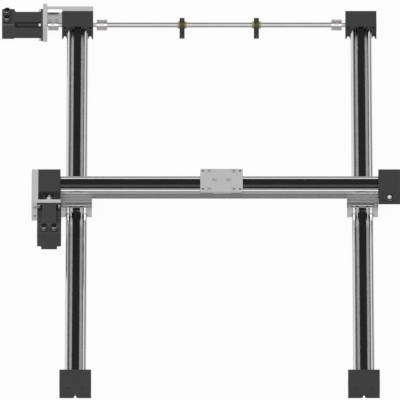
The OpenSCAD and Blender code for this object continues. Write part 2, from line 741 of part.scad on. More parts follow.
// jaw under the plate, toothed like the belt that passes a strand of length l at y0 from its middle
module belt_jaw(l, y0) {
    n = strand_teeth(l);
    land_z = shaft_over_rail + land_r;
    difference() {
        translate([-jaw_w / 2, -jaw_l / 2, jaw_z]) cube([jaw_w, jaw_l, carriage_under - jaw_z]);
        translate([-belt_w / 2 - 0.4, -jaw_l, land_z - jaw_gap])
            cube([belt_w + 0.8, 2 * jaw_l, carriage_under]);
        for (k = [0 : n]) let (y = k * l / n - l / 2 - y0) if (abs(y) < jaw_l / 2 + belt_pitch)
            translate([0, y, 0]) along_x(belt_w + 0.8) groove(land_z - jaw_gap);
        translate([0, 0, jaw_z]) four(2 * jaw_cheek, jaw_l * 0.7) {
            translate([0, 0, -1])
                cylinder(r = head_d(jaw_screw_d) / 2 + screw_gap, h = 1 + head_h(jaw_screw_d));
            cylinder(r = jaw_screw_d / 2 + screw_gap, h = 30);
        }
    }
}
module jaw_screws() {
    shank = carriage_under - jaw_z - head_h(jaw_screw_d) + plate_t / 2 - 0.5;
    translate([0, 0, jaw_z]) four(2 * jaw_cheek, jaw_l * 0.7)
        mirror([0, 0, 1]) cap_screw(jaw_screw_d, shank);
}
module clamp_discs() {
    for (s = [-1, 1]) translate([0, s * disc_l / 2, carriage_under]) difference() {
        cylinder(d = disc_d, h = plate_t);
        translate([0, 0, plate_t - 2.5]) cylinder(d = 6, h = 3, $fn = 6);
    }
}
module carriage_screws() {
    translate([0, 0, carriage_top]) four(plate_hole_w, housing_screw_l)
        flat_screw(housing_screw_d, plate_t + 9);
    clamp_discs();
    jaw_screws();
}
module adapter() {
    z = carriage_top;
    difference() {
        translate([-adapter_w / 2, -carriage_l / 2, z]) cube([adapter_w, carriage_l, adapter_t]);
        translate([0, 0, z + adapter_t]) four(plate_hole_w, plate_hole_l)
            flat_sink(plate_hole_d, adapter_t + 1);
        translate([0, 0, z - eps]) four(dowel_x, dowel_y) cylinder(d = dowel_d, h = adapter_t + 1);
    }
}
module adapter_screws() {
    translate([0, 0, carriage_top + adapter_t]) four(plate_hole_w, plate_hole_l)
        flat_screw(plate_hole_d - 2 * screw_gap, adapter_t + plate_t + 4);
}

// ---------- shaft support, eye along X at the origin ----------
module shaft_support() {
    base = -block_h / 2;
    // half of the outline, from the eye down and out to the foot's tip
    foot_edge = [
        [eye_r, 0], [eye_r, base + support_foot_t + 2], [eye_r + 2, base + support_foot_t],
        [support_foot_l / 2, base + support_foot_t], [support_foot_l / 2, base]
    ];
    mirrored_foot = [for (k = [1 : len(foot_edge)]) foot_edge[len(foot_edge) - k]];
    difference() {
        along_x(support_t) {
            circle(r = eye_r);
            polygon([for (s = [-1, 1], p = s < 0 ? foot_edge : mirrored_foot) [s * p[0], p[1]]]);
        }
        rod_x(bush_d / 2 + fit_gap, support_t + 2);
        for (s = [-1, 1]) translate([0, s * support_hole_s / 2, base - 1])
            cylinder(d = support_hole_d, h = support_foot_t + 4);
    }
}
module support_bush() {
    difference() {
        rod_x(bush_d / 2, support_t + 2 * bush_out);
        rod_x(cross_d / 2 + run_gap, support_t + 2 * bush_out + 1);
    }
}
module at_supports() {
    at_cross() for (s = [-1, 1]) translate([s * support_spacing / 2, 0, 0]) children();
}

// ---------- nodes: fixed frame ----------
module rail_left() { color("gainsboro") on_left() rail_body(side_rail_l); }
module rail_right() { color("gainsboro") on_right() rail_body(side_rail_l); }
module rail_shafts_y() { color("silver") on_sides() guide_shafts(side_rail_l); }
module belt_channels_y() { color("darkgray") on_sides() belt_channel(side_rail_l); }
module drive_block_left() { color("dimgray") on_left() at_drive(side_l) end_block(true); }
module drive_block_right() { color("dimgray") on_right() at_drive(side_l) end_block(true); }
module idler_block_left() { color("dimgray") on_left() at_idler(side_l) end_block(false); }
module idler_block_right() { color("dimgray") on_right() at_idler(side_l) end_block(false); }
module belt_left() { color("#202020") on_left() belt(side_l); }
module belt_right() { color("#202020") on_right() belt(side_l); }
module block_bearings_y() { color("lightgray") on_sides() block_bearings(side_l); }
module y_bracket_end_plate() { color("lightgray") on_left() at_drive(side_l) bracket_end_plate(); }
module y_motor_plate() { color("lightgray") on_left() at_drive(side_l) motor_plate(); }
module y_motor() { color("#404040") on_left() at_drive(side_l) in_motor_frame() motor(); }
module y_motor_connectors() {
    color("#303030") on_left() at_drive(side_l) in_motor_frame() motor_connectors();
}
module shaft_supports() { color("#303030") at_supports() shaft_support(); }
module support_bushes() { color("khaki") at_supports() support_bush(); }
module frame_screws() {
    color("silver") {
        on_left() at_drive(side_l) {
            in_motor_frame() motor_screws();
            bracket_screws();
        }
        on_sides() at_idler(side_l) end_screws();
    }
}

// ---------- nodes: cross shaft, turning with both drive pulleys ----------
module cross_shaft() {
    end = cross_hub_x - coupling_l + hub_depth;
    color("silver") at_cross() shaft_between(-end, end, cross_d / 2);
}
module drive_journals_y() {
    color("silver") {
        on_left() at_drive(side_l) shaft_between(-journal_out, journal_out, journal_d / 2);
        on_right() at_drive(side_l) shaft_between(-journal_out, journal_end, journal_d / 2);
    }
}
module drive_pulleys_y() { color("lightgray") on_sides() at_drive(side_l) pulley(); }
module y_motor_rotor() { color("silver") on_left() at_drive(side_l) in_motor_frame() motor_rotor(); }
module coupling_hubs_y() {
    color("silver") {
        on_left() at_drive(side_l) translate([-motor_hub_x, 0, 0]) coupling_pair(motor_shaft_d, journal_d);
        at_cross() for (s = [0, 1]) mirror([s, 0, 0])
            translate([cross_hub_x - coupling_l, 0, 0]) coupling_pair(cross_d, journal_d);
    }
}
module coupling_spiders_y() {
    color("lightpink") {
        on_left() at_drive(side_l) translate([-motor_hub_x, 0, 0]) coupling_spider();
        at_cross() for (s = [0, 1]) mirror([s, 0, 0])
            translate([cross_hub_x - coupling_l, 0, 0]) coupling_spider();
    }
}

// ---------- nodes: side idlers ----------
module idler_pulley_left() { color("lightgray") on_left() at_idler(side_l) pulley(); }
module idler_pulley_right() { color("lightgray") on_right() at_idler(side_l) pulley(); }
module idler_journal_left() {
    color("silver") on_left() at_idler(side_l) shaft_between(-journal_end, journal_end, journal_d / 2);
}
module idler_journal_right() {
    color("silver") on_right() at_idler(side_l) shaft_between(-journal_end, journal_end, journal_d / 2);
}

// ---------- nodes: bridge, sliding along Y ----------
module carriage_left() { color("lightgray") on_left() carriage_plate(); }
module carriage_right() { color("lightgray") on_right() carriage_plate(); }
module bearing_housings_y() { color("lightgray") on_sides() bearing_housings(); }
module bearing_liners_y() { color("khaki") on_sides() bearing_liners(); }
module belt_jaws_y() { color("gray") on_sides() belt_jaw(side_l, 0); }
module adapter_left() { color("lightgray") on_left() adapter(); }
module adapter_right() { color("lightgray") on_right() adapter(); }
module rail_x() { color("gainsboro") on_bridge() rail_body(bridge_rail_l); }
module rail_shafts_x() { color("silver") on_bridge() guide_shafts(bridge_rail_l); }
module belt_channel_x() { color("darkgray") on_bridge() belt_channel(bridge_rail_l); }
module drive_block_x() { color("dimgray") on_bridge() at_drive(bridge_l) end_block(true); }
module idler_block_x() { color("dimgray") on_bridge() at_idler(bridge_l) end_block(false); }
module belt_x() { color("#202020") on_bridge() belt(bridge_l); }
module block_bearings_x() { color("lightgray") on_bridge() block_bearings(bridge_l); }
module x_bracket_end_plate() { color("lightgray") on_bridge() at_drive(bridge_l) bracket_end_plate(); }
module x_motor_plate() { color("lightgray") on_bridge() at_drive(bridge_l) motor_plate(); }
module x_motor() { color("#404040") on_bridge() at_drive(bridge_l) in_motor_frame() motor(); }
module x_motor_connectors() {
    color("#303030") on_bridge() at_drive(bridge_l) in_motor_frame() motor_connectors();
}
module bridge_screws() {
    color("silver") {
        on_bridge() at_drive(bridge_l) {
            in_motor_frame() motor_screws();
            bracket_screws();
        }
        on_bridge() at_idler(bridge_l) end_screws();
        on_sides() {
            carriage_screws();
            adapter_screws();
        }
    }
}

// ---------- nodes: bridge drive and idler ----------
module drive_pulley_x() { color("lightgray") on_bridge() at_drive(bridge_l) pulley(); }
module drive_journal_x() {
    color("silver") on_bridge() at_drive(bridge_l) shaft_between(-journal_out, journal_end, journal_d / 2);
}
module x_motor_rotor() { color("silver") on_bridge() at_drive(bridge_l) in_motor_frame() motor_rotor(); }
module coupling_hubs_x() {
    color("silver") on_bridge() at_drive(bridge_l) translate([-motor_hub_x, 0, 0])
        coupling_pair(motor_shaft_d, journal_d);
}
module coupling_spider_x() {
    color("lightpink") on_bridge() at_drive(bridge_l) translate([-motor_hub_x, 0, 0]) coupling_spider();
}
module idler_pulley_x() { color("lightgray") on_bridge() at_idler(bridge_l) pulley(); }
module idler_journal_x() {
    color("silver") on_bridge() at_idler(bridge_l) shaft_between(-journal_end, journal_end, journal_d / 2);
}

// ---------- nodes: tool carriage, sliding along X ----------
module carriage_x() { color("lightgray") at_tool() carriage_plate(); }
module bearing_housings_x() { color("lightgray") at_tool() bearing_housings(); }
module bearing_liners_x() { color("khaki") at_tool() bearing_liners(); }
module belt_jaw_x() { color("gray") at_tool() belt_jaw(bridge_l, -tool_rest); }
module tool_carriage_screws() { color("silver") at_tool() carriage_screws(); }

rail_left();
rail_right();
rail_shafts_y();
belt_channels_y();
drive_block_left();
drive_block_right();
idler_block_left();
idler_block_right();
belt_left();
belt_right();
block_bearings_y();
y_bracket_end_plate();
y_motor_plate();
y_motor();
y_motor_connectors();
shaft_supports();
support_bushes();
frame_screws();
cross_shaft();
drive_journals_y();
drive_pulleys_y();
y_motor_rotor();
coupling_hubs_y();
coupling_spiders_y();
idler_pulley_left();
idler_journal_left();
idler_pulley_right();
idler_journal_right();
carriage_left();
carriage_right();
bearing_housings_y();
bearing_liners_y();
belt_jaws_y();
adapter_left();
adapter_right();
rail_x();
rail_shafts_x();
belt_channel_x();
drive_block_x();
idler_block_x();
belt_x();
block_bearings_x();
x_bracket_end_plate();
x_motor_plate();
x_motor();
x_motor_connectors();
bridge_screws();
drive_pulley_x();
drive_journal_x();
x_motor_rotor();
coupling_hubs_x();
coupling_spider_x();
idler_pulley_x();
idler_journal_x();
carriage_x();
bearing_housings_x();
bearing_liners_x();
belt_jaw_x();
tool_carriage_screws();
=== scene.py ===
import bpy, bmesh, json, math
import numpy as np
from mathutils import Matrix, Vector


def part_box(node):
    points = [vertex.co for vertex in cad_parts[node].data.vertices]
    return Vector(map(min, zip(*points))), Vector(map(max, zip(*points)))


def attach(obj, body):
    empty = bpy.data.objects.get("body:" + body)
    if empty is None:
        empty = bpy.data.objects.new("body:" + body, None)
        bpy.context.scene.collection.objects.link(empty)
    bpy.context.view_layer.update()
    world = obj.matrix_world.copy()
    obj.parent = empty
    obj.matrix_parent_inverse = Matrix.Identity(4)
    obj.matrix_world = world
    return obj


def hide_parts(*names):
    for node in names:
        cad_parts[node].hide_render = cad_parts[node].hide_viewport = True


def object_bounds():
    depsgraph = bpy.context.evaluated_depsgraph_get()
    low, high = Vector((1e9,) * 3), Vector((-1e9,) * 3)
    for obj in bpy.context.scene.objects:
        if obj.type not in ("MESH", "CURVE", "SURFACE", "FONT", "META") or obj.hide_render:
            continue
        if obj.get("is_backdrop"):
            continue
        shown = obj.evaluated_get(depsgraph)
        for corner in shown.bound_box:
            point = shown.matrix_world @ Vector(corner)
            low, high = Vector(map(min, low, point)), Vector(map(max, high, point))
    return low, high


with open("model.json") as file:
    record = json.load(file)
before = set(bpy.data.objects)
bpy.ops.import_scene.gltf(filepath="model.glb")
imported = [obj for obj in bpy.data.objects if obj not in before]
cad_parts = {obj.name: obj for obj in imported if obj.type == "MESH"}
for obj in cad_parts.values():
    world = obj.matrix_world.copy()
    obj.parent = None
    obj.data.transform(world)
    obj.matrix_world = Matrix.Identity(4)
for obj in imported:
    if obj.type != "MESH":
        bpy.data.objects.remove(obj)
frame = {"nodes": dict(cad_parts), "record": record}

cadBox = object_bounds()
nodes = frame["nodes"]
mm = 0.001
bodyOf = {node: body for body, names in frame["record"]["behaviour"]["bodies"].items() for node in names}
print("frame loaded:", len(nodes), "nodes")


def middle(nodeName):
    # centre and size of a node at rest
    low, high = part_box(nodeName)
    return (np.array(low) + np.array(high)) / 2, np.array(high) - np.array(low)


# camera: long lens, 45 degrees down, looking along +Y; aimSum is the height plus the depth that it aims at
camera = dict(elevation=45.0, lens=1700.0, sensor=36.0, viewWidth=0.94242, aimX=-0.0457, aimSum=0.0303)
distance = camera["viewWidth"] * camera["lens"] / camera["sensor"]
tilt = math.radians(camera["elevation"])
towards = Vector((0, math.cos(tilt), -math.sin(tilt)))
aim = Vector((camera["aimX"], camera["aimSum"] / 2, camera["aimSum"] / 2))
camData = bpy.data.cameras.new("camera")
camData.lens, camData.sensor_width = camera["lens"], camera["sensor"]
camData.clip_start, camData.clip_end = 1.0, 200.0
cam = bpy.data.objects.new("camera", camData)
cam.location = aim - towards * distance
cam.rotation_mode = "QUATERNION"
cam.rotation_quaternion = towards.to_track_quat("-Z", "Y")
bpy.context.scene.collection.objects.link(cam)
bpy.context.scene.camera = cam
bpy.context.scene.view_settings.view_transform = "Standard"


def newTree(name):
    mat = bpy.data.materials.new(name)
    mat.use_nodes = True
    mat.node_tree.nodes.clear()
    return mat, mat.node_tree


def setInput(tree, socket, value):
    if isinstance(value, bpy.types.NodeSocket):
        tree.links.new(value, socket)
    else:
        socket.default_value = value


def put(tree, kind, inputs=None, **settings):
    # one node, its plain settings, and its inputs by name or number: a value or another node's output
    node = tree.nodes.new(kind)
    for key, value in settings.items():
        setattr(node, key, value)
    for key, value in (inputs or {}).items():
        setInput(tree, node.inputs[key], value)
    return node


def mathNode(tree, operation, a, b=0.0, clamp=False):
    return put(tree, "ShaderNodeMath", {0: a, 1: b}, operation=operation, use_clamp=clamp).outputs[0]


def smoothStep(tree, value, low, high, fromValue=0.0, toValue=1.0):
    return put(tree, "ShaderNodeMapRange", {
        "Value": value, "From Min": low, "From Max": high, "To Min": fromValue, "To Max": toValue},
        interpolation_type="SMOOTHSTEP").outputs[0]


def mixColour(tree, factor, a, b):
    # a where the factor is 0, b where it is 1
    node = tree.nodes.new("ShaderNodeMix")
    node.data_type = "RGBA"
    sockets = {s.identifier: s for s in node.inputs}
    for key, value in (("Factor_Float", factor), ("A_Color", a), ("B_Color", b)):
        setInput(tree, sockets[key], (*value, 1) if isinstance(value, tuple) else value)
    return [s for s in node.outputs if s.identifier == "Result_Color"][0]


def newGroup(name, inputs, outputs):
    # inputs and outputs: (name, socket type, default)
    group = bpy.data.node_groups.new(name, "ShaderNodeTree")
    for label, kind, value in inputs:
        group.interface.new_socket(label, in_out="INPUT", socket_type=kind).default_value = value
    for label, kind in outputs:
        group.interface.new_socket(label, in_out="OUTPUT", socket_type=kind)
    return group, group.nodes.new("NodeGroupInput").outputs, group.nodes.new("NodeGroupOutput").inputs


def useGroup(tree, group, inputs):
    node = put(tree, "ShaderNodeGroup", node_tree=group)
    for key, value in inputs.items():
        setInput(tree, node.inputs[key], value)
    return node.outputs


# machiningLines: noise pulled out along one direction, as rolled, drawn, ground or milled metal shows
machiningLines, gIn, gOut = newGroup(
    "machiningLines",
    [("Stretch", "NodeSocketVector", (1, 1, 1)), ("Scale", "NodeSocketFloat", 400.0),
     ("Contrast", "NodeSocketFloat", 1.0)],
    [("Lines", "NodeSocketFloat")])
t = machiningLines
coords = put(t, "ShaderNodeTexCoord").outputs["Object"]
pulled = put(t, "ShaderNodeVectorMath", {0: coords, 1: gIn["Stretch"]}, operation="MULTIPLY").outputs[0]
fine = put(t, "ShaderNodeTexNoise", {
    "Vector": pulled, "Scale": gIn["Scale"], "Detail": 3.0, "Roughness": 0.6}).outputs[0]
contrasted = mathNode(t, "MULTIPLY", mathNode(t, "SUBTRACT", fine, 0.5), gIn["Contrast"])
t.links.new(mathNode(t, "ADD", contrasted, 0.5, clamp=True), gOut["Lines"])

# patina: broad soft blotches, so that no face is one even tone
patina, gIn, gOut = newGroup(
    "patina", [("Scale", "NodeSocketFloat", 14.0), ("Amount", "NodeSocketFloat", 0.1)],
    [("Blotch", "NodeSocketFloat")])
t = patina
coords = put(t, "ShaderNodeTexCoord").outputs["Object"]
broad = put(t, "ShaderNodeTexNoise", {"Vector": coords, "Scale": gIn["Scale"], "Detail": 2.0}).outputs[0]
t.links.new(mathNode(t, "MULTIPLY", mathNode(t, "SUBTRACT", broad, 0.5), gIn["Amount"]), gOut["Blotch"])

# brokenEdges: normals rounded over sharp edges, and a mask of those edges
brokenEdges, gIn, gOut = newGroup(
    "brokenEdges", [("Radius", "NodeSocketFloat", 0.0004), ("Sharpness", "NodeSocketFloat", 3.0)],
    [("Edge", "NodeSocketFloat"), ("Normal", "NodeSocketVector")])
t = brokenEdges
rounded = put(t, "ShaderNodeBevel", {"Radius": gIn["Radius"]}, samples=4).outputs[0]
flat = put(t, "ShaderNodeNewGeometry").outputs["Normal"]
facing = put(t, "ShaderNodeVectorMath", {0: rounded, 1: flat}, operation="DOT_PRODUCT").outputs["Value"]
bend = mathNode(t, "MULTIPLY", mathNode(t, "SUBTRACT", 1.0, facing), gIn["Sharpness"], clamp=True)
t.links.new(bend, gOut["Edge"])
t.links.new(rounded, gOut["Normal"])

# paintedBeltShade: painted shade, a soft dark band along the line under a belt, where the belt shades the
# rail; Across is the direction across the axis
paintedBeltShade, gIn, gOut = newGroup(
    "paintedBeltShade", [("Across", "NodeSocketVector", (1, 0, 0)), ("Offset", "NodeSocketFloat", 0.0),
                 ("Half", "NodeSocketFloat", 0.009), ("Ragged", "NodeSocketFloat", 0.003)],
    [("ShadeMask", "NodeSocketFloat")])
t = paintedBeltShade
coords = put(t, "ShaderNodeTexCoord").outputs["Object"]
across = put(t, "ShaderNodeVectorMath", {0: coords, 1: gIn["Across"]},
             operation="DOT_PRODUCT").outputs["Value"]
away = mathNode(t, "ABSOLUTE", mathNode(t, "SUBTRACT", mathNode(t, "ABSOLUTE", across), gIn["Offset"]))
speckle = put(t, "ShaderNodeTexNoise", {"Vector": coords, "Scale": 220.0, "Detail": 2.0}).outputs[0]
wander = mathNode(t, "MULTIPLY", mathNode(t, "SUBTRACT", speckle, 0.5), gIn["Ragged"])
ragged = mathNode(t, "ADD", away, wander)
share = mathNode(t, "DIVIDE", ragged, gIn["Half"])
t.links.new(smoothStep(t, share, 0.8, 1.15, 1.0, 0.0), gOut["ShadeMask"])
print("shared effects ready")


def grey(level):
    # linear value of a display grey, 0 to 255
    s = level / 255
    linear = s / 12.92 if s <= 0.04045 else ((s + 0.055) / 1.055) ** 2.4
    return (linear, linear, linear)


# painted shade under the belts, how strong and how dark; darkScrew is the grey of the dark screws, reliefDepth
# the depth of the fine relief
shadeAndMarks = dict(paintedShadeStrength=0.85, paintedShadeGrey=52, darkScrew=62, reliefDepth=0.00005)


def finish(name, look):
    # a metal, paint, rubber or plastic from its look: two colours along the machining lines, patina, broken
    # edges painted brighter as a painted highlight, partly edge wear, roughness and a fine relief from the
    # same lines
    mat, tree = newTree(name)
    lines = useGroup(tree, machiningLines, {
        "Stretch": look.get("stretch", (1, 1, 1)), "Scale": look.get("lineScale", 400.0),
        "Contrast": look.get("lineContrast", 1.0)})["Lines"]
    blotch = useGroup(tree, patina, {})["Blotch"]
    edges = useGroup(tree, brokenEdges, {"Radius": look.get("edgeRadius", 0.0004)})
    share = mathNode(tree, "ADD", lines, blotch, clamp=True)
    metallic = look.get("metallic", 0.0)
    colour = mixColour(tree, share, look["dark"], look["light"])
    # painted highlight: the edge colour along broken edges, partly edge wear
    colour = mixColour(tree, mathNode(tree, "MULTIPLY", edges["Edge"], look.get("edgeHighlightShow", 0.5)),
                       colour, look.get("edge", look["light"]))
    # painted shade: a darker band on the rail along the line under the belt
    if "underBeltShade" in look:
        across, offset = look["underBeltShade"]
        underBeltShade = useGroup(tree, paintedBeltShade, {"Across": across, "Offset": offset})["ShadeMask"]
        colour = mixColour(tree, mathNode(tree, "MULTIPLY", underBeltShade, shadeAndMarks["paintedShadeStrength"]), colour,
                           grey(shadeAndMarks["paintedShadeGrey"]))
    if "farEnds" in look:
        # screws past these places along X or Y have a dark finish
        coords = put(tree, "ShaderNodeTexCoord").outputs["Object"]
        parts = put(tree, "ShaderNodeSeparateXYZ", {0: coords}).outputs
        pastX = mathNode(tree, "GREATER_THAN", parts["X"], look["farEnds"][0])
        pastY = mathNode(tree, "LESS_THAN", parts["Y"], look["farEnds"][1])
        darkened = mathNode(tree, "MAXIMUM", pastX, pastY)
        colour = mixColour(tree, darkened, colour, grey(shadeAndMarks["darkScrew"]))
        metallic = mathNode(tree, "SUBTRACT", metallic, darkened, clamp=True)
    rough = put(tree, "ShaderNodeMapRange", {
        "Value": share, "To Min": look["rough"][0], "To Max": look["rough"][1]}).outputs[0]
    relief = put(tree, "ShaderNodeBump", {
        "Strength": look.get("relief", 0.2), "Distance": shadeAndMarks["reliefDepth"],
        "Height": lines, "Normal": edges["Normal"]}).outputs[0]
    shader = put(tree, "ShaderNodeBsdfPrincipled", {
        "Base Color": colour, "Metallic": metallic, "Roughness": rough, "Normal": relief,
        "Coat Weight": look.get("coat", 0.0), "Coat Roughness": look.get("coatRough", 0.3),
        "Specular IOR Level": look.get("specular", 0.5)})
    out = put(tree, "ShaderNodeOutputMaterial")
    tree.links.new(shader.outputs[0], out.inputs[0])
    return mat


# the colours are display greys; lineScale, stretch and relief shape the machining lines of each finish; edge
# is the colour of the painted highlight along broken edges, partly edge wear
sideX = middle("rail_right")[0][0]
farX, farY = 0.41, -0.608
looks = {
    # the two rails carry the painted shade band under their belt, across X or Y at an offset
    "railAlongY": dict(dark=grey(176), light=grey(194), edge=grey(215), rough=(0.3, 0.4), metallic=1.0,
                       stretch=(1, 0.02, 1), lineScale=900, lineContrast=1.6, relief=0.15,
                       underBeltShade=((1, 0, 0), sideX)),
    # painted shade: the rail extrusion of the Y rails in a darker copy, for the rail along X
    "railAlongXPaintedShade": dict(dark=grey(158), light=grey(174), edge=grey(200), rough=(0.16, 0.24), metallic=1.0,
                       stretch=(0.02, 1, 1), lineScale=900, lineContrast=1.6, relief=0.08,
                       underBeltShade=((0, 1, 0), 0.0)),
    "channelAlongY": dict(dark=grey(128), light=grey(144), edge=grey(180), rough=(0.3, 0.42), metallic=1.0,
                          stretch=(1, 0.02, 1), lineScale=900, lineContrast=1.6, relief=0.15),
    "channelAlongX": dict(dark=grey(128), light=grey(144), edge=grey(180), rough=(0.3, 0.42), metallic=1.0,
                          stretch=(0.02, 1, 1), lineScale=900, lineContrast=1.6, relief=0.15),
    "shaftAlongY": dict(dark=grey(208), light=grey(222), edge=grey(225), rough=(0.08, 0.14), metallic=1.0,
                        stretch=(0.1, 4, 0.1), lineScale=700, relief=0.05),
    # painted shade: the ground steel of the shafts along Y in a darker copy, for the shafts, journals and
    # rotor along X
    "shaftAlongXPaintedShade": dict(dark=grey(152), light=grey(166), edge=grey(190), rough=(0.08, 0.14), metallic=1.0,
                        stretch=(4, 0.1, 0.1), lineScale=700, relief=0.05),
    "blackBlock": dict(dark=grey(44), light=grey(54), edge=grey(95), rough=(0.42, 0.55), specular=0.3,
                       lineScale=1500, relief=0.12, edgeHighlightShow=0.35),
    "beltRubber": dict(dark=grey(12), light=grey(17), edge=grey(30), rough=(0.6, 0.75), specular=0.2,
                       lineScale=1200, relief=0.3, edgeHighlightShow=0.2),
    "bearingSteel": dict(dark=grey(105), light=grey(125), rough=(0.15, 0.25), metallic=1.0),
    "bearingSeal": dict(dark=grey(14), light=grey(20), rough=(0.5, 0.65), specular=0.25, lineScale=1400),
    "bracketPlate": dict(dark=grey(184), light=grey(196), edge=grey(225), rough=(0.14, 0.22), metallic=1.0,
                         stretch=(0.05, 1, 1), lineScale=700, lineContrast=1.3, relief=0.12),
    "bracketPlateX": dict(dark=grey(184), light=grey(196), edge=grey(225), rough=(0.14, 0.22), metallic=1.0,
                          stretch=(1, 0.05, 1), lineScale=700, lineContrast=1.3, relief=0.12),
    # painted highlight: the motor's light edge colour stands in for fillets catching the light
    "motorPaint": dict(dark=grey(42), light=grey(52), edge=grey(135), rough=(0.38, 0.5), coat=0.05,
                       specular=0.35, lineScale=1800, relief=0.25, edgeHighlightShow=0.9, edgeRadius=0.0009),
    "connectorShell": dict(dark=grey(100), light=grey(118), edge=grey(150), rough=(0.2, 0.3), metallic=1.0,
                           lineScale=1800),
    "connectorInsert": dict(dark=grey(14), light=grey(20), rough=(0.45, 0.6), specular=0.3, lineScale=1500),
    "contactGold": dict(dark=(0.42, 0.3, 0.12), light=(0.52, 0.39, 0.17), rough=(0.25, 0.4), metallic=1.0,
                        lineScale=1500),
    "supportBlack": dict(dark=grey(36), light=grey(46), edge=grey(80), rough=(0.4, 0.55), specular=0.4,
                         lineScale=1500),
    "bushYellow": dict(dark=(0.45, 0.33, 0.08), light=(0.6, 0.46, 0.14), edge=(0.7, 0.56, 0.25),
                       rough=(0.35, 0.5), lineScale=900),
    "screwSteel": dict(dark=grey(165), light=grey(195), edge=grey(225), rough=(0.2, 0.35), metallic=1.0,
                       lineScale=2000, farEnds=(farX, farY)),
    "couplingAluminium": dict(dark=grey(160), light=grey(174), edge=grey(200), rough=(0.14, 0.24),
                              metallic=1.0, stretch=(6, 0.2, 0.2), lineScale=500, relief=0.08),
    # painted light: the coupling aluminium in a lighter copy, for the bridge's pulleys and coupling hubs
    "couplingAluminiumXPaintedLight": dict(dark=grey(206), light=grey(218), edge=grey(235), rough=(0.22, 0.32),
                               metallic=1.0, stretch=(0.2, 6, 0.2), lineScale=500, relief=0.08),
    "spiderPink": dict(dark=(0.52, 0.365, 0.385), light=(0.64, 0.475, 0.495), rough=(0.2, 0.32),
                       metallic=0.35, coat=0.5, coatRough=0.15, lineScale=900),
    "carriageAluminium": dict(dark=grey(184), light=grey(198), edge=grey(225), rough=(0.18, 0.28),
                              metallic=1.0, stretch=(1, 0.04, 1), lineScale=800, relief=0.1),
    "adapterAluminium": dict(dark=grey(172), light=grey(184), edge=grey(215), rough=(0.07, 0.13),
                             metallic=1.0, stretch=(1, 0.04, 1), lineScale=800, relief=0.04),
    # painted shade: the carriage aluminium in a darker copy, for the X bearing housings and the belt jaws
    # under the carriage plates
    "housingAluminiumPaintedShade": dict(dark=grey(120), light=grey(134), edge=grey(170), rough=(0.22, 0.34),
                             metallic=1.0, stretch=(1, 0.04, 1), lineScale=800, relief=0.1),
    "linerPlastic": dict(dark=(0.32, 0.29, 0.16), light=(0.42, 0.38, 0.22), rough=(0.5, 0.7), lineScale=900),
}
mats = {name: finish(name, look) for name, look in looks.items()}

wears = {
    "rail_left": "railAlongY", "rail_right": "railAlongY", "rail_x": "railAlongXPaintedShade",
    "belt_channels_y": "channelAlongY", "belt_channel_x": "channelAlongX",
    "rail_shafts_y": "shaftAlongY", "rail_shafts_x": "shaftAlongXPaintedShade",
    "drive_block_left": "blackBlock", "drive_block_right": "blackBlock", "drive_block_x": "blackBlock",
    "idler_block_left": "blackBlock", "idler_block_right": "blackBlock", "idler_block_x": "blackBlock",
    "belt_left": "beltRubber", "belt_right": "beltRubber", "belt_x": "beltRubber",
    "block_bearings_y": "bearingSteel", "block_bearings_x": "bearingSteel",
    "y_bracket_end_plate": "bracketPlate", "y_motor_plate": "bracketPlate",
    "x_bracket_end_plate": "bracketPlateX", "x_motor_plate": "bracketPlateX",
    "y_motor": "motorPaint", "x_motor": "motorPaint",
    "y_motor_connectors": "connectorShell", "x_motor_connectors": "connectorShell",
    "shaft_supports": "supportBlack", "support_bushes": "bushYellow",
    "frame_screws": "screwSteel", "bridge_screws": "screwSteel", "tool_carriage_screws": "screwSteel",
    "cross_shaft": "shaftAlongXPaintedShade", "drive_journals_y": "shaftAlongXPaintedShade", "drive_journal_x": "shaftAlongY",
    "idler_journal_left": "shaftAlongXPaintedShade", "idler_journal_right": "shaftAlongXPaintedShade",
    "idler_journal_x": "shaftAlongY",
    "y_motor_rotor": "shaftAlongXPaintedShade", "x_motor_rotor": "shaftAlongY",
    "drive_pulleys_y": "couplingAluminium", "idler_pulley_left": "couplingAluminium",
    "idler_pulley_right": "couplingAluminium", "drive_pulley_x": "couplingAluminiumXPaintedLight",
    "idler_pulley_x": "couplingAluminiumXPaintedLight",
    "coupling_hubs_y": "couplingAluminium", "coupling_hubs_x": "couplingAluminiumXPaintedLight",
    "coupling_spiders_y": "spiderPink", "coupling_spider_x": "spiderPink",
    "carriage_left": "carriageAluminium", "carriage_right": "carriageAluminium",
    "carriage_x": "carriageAluminium",
    "adapter_left": "adapterAluminium", "adapter_right": "adapterAluminium",
    "bearing_housings_y": "carriageAluminium", "bearing_housings_x": "housingAluminiumPaintedShade",
    "belt_jaws_y": "housingAluminiumPaintedShade", "belt_jaw_x": "housingAluminiumPaintedShade",
    "bearing_liners_y": "linerPlastic", "bearing_liners_x": "linerPlastic",
}
for name, node in nodes.items():
    node.data.materials.clear()
    node.data.materials.append(mats[wears[name]])
print("materials on", len(nodes), "nodes")


merged = dict(points=1e-7, solids=2e-6, flatWithin=0.6, curveAngle=38.0, solidAngle=30.0)


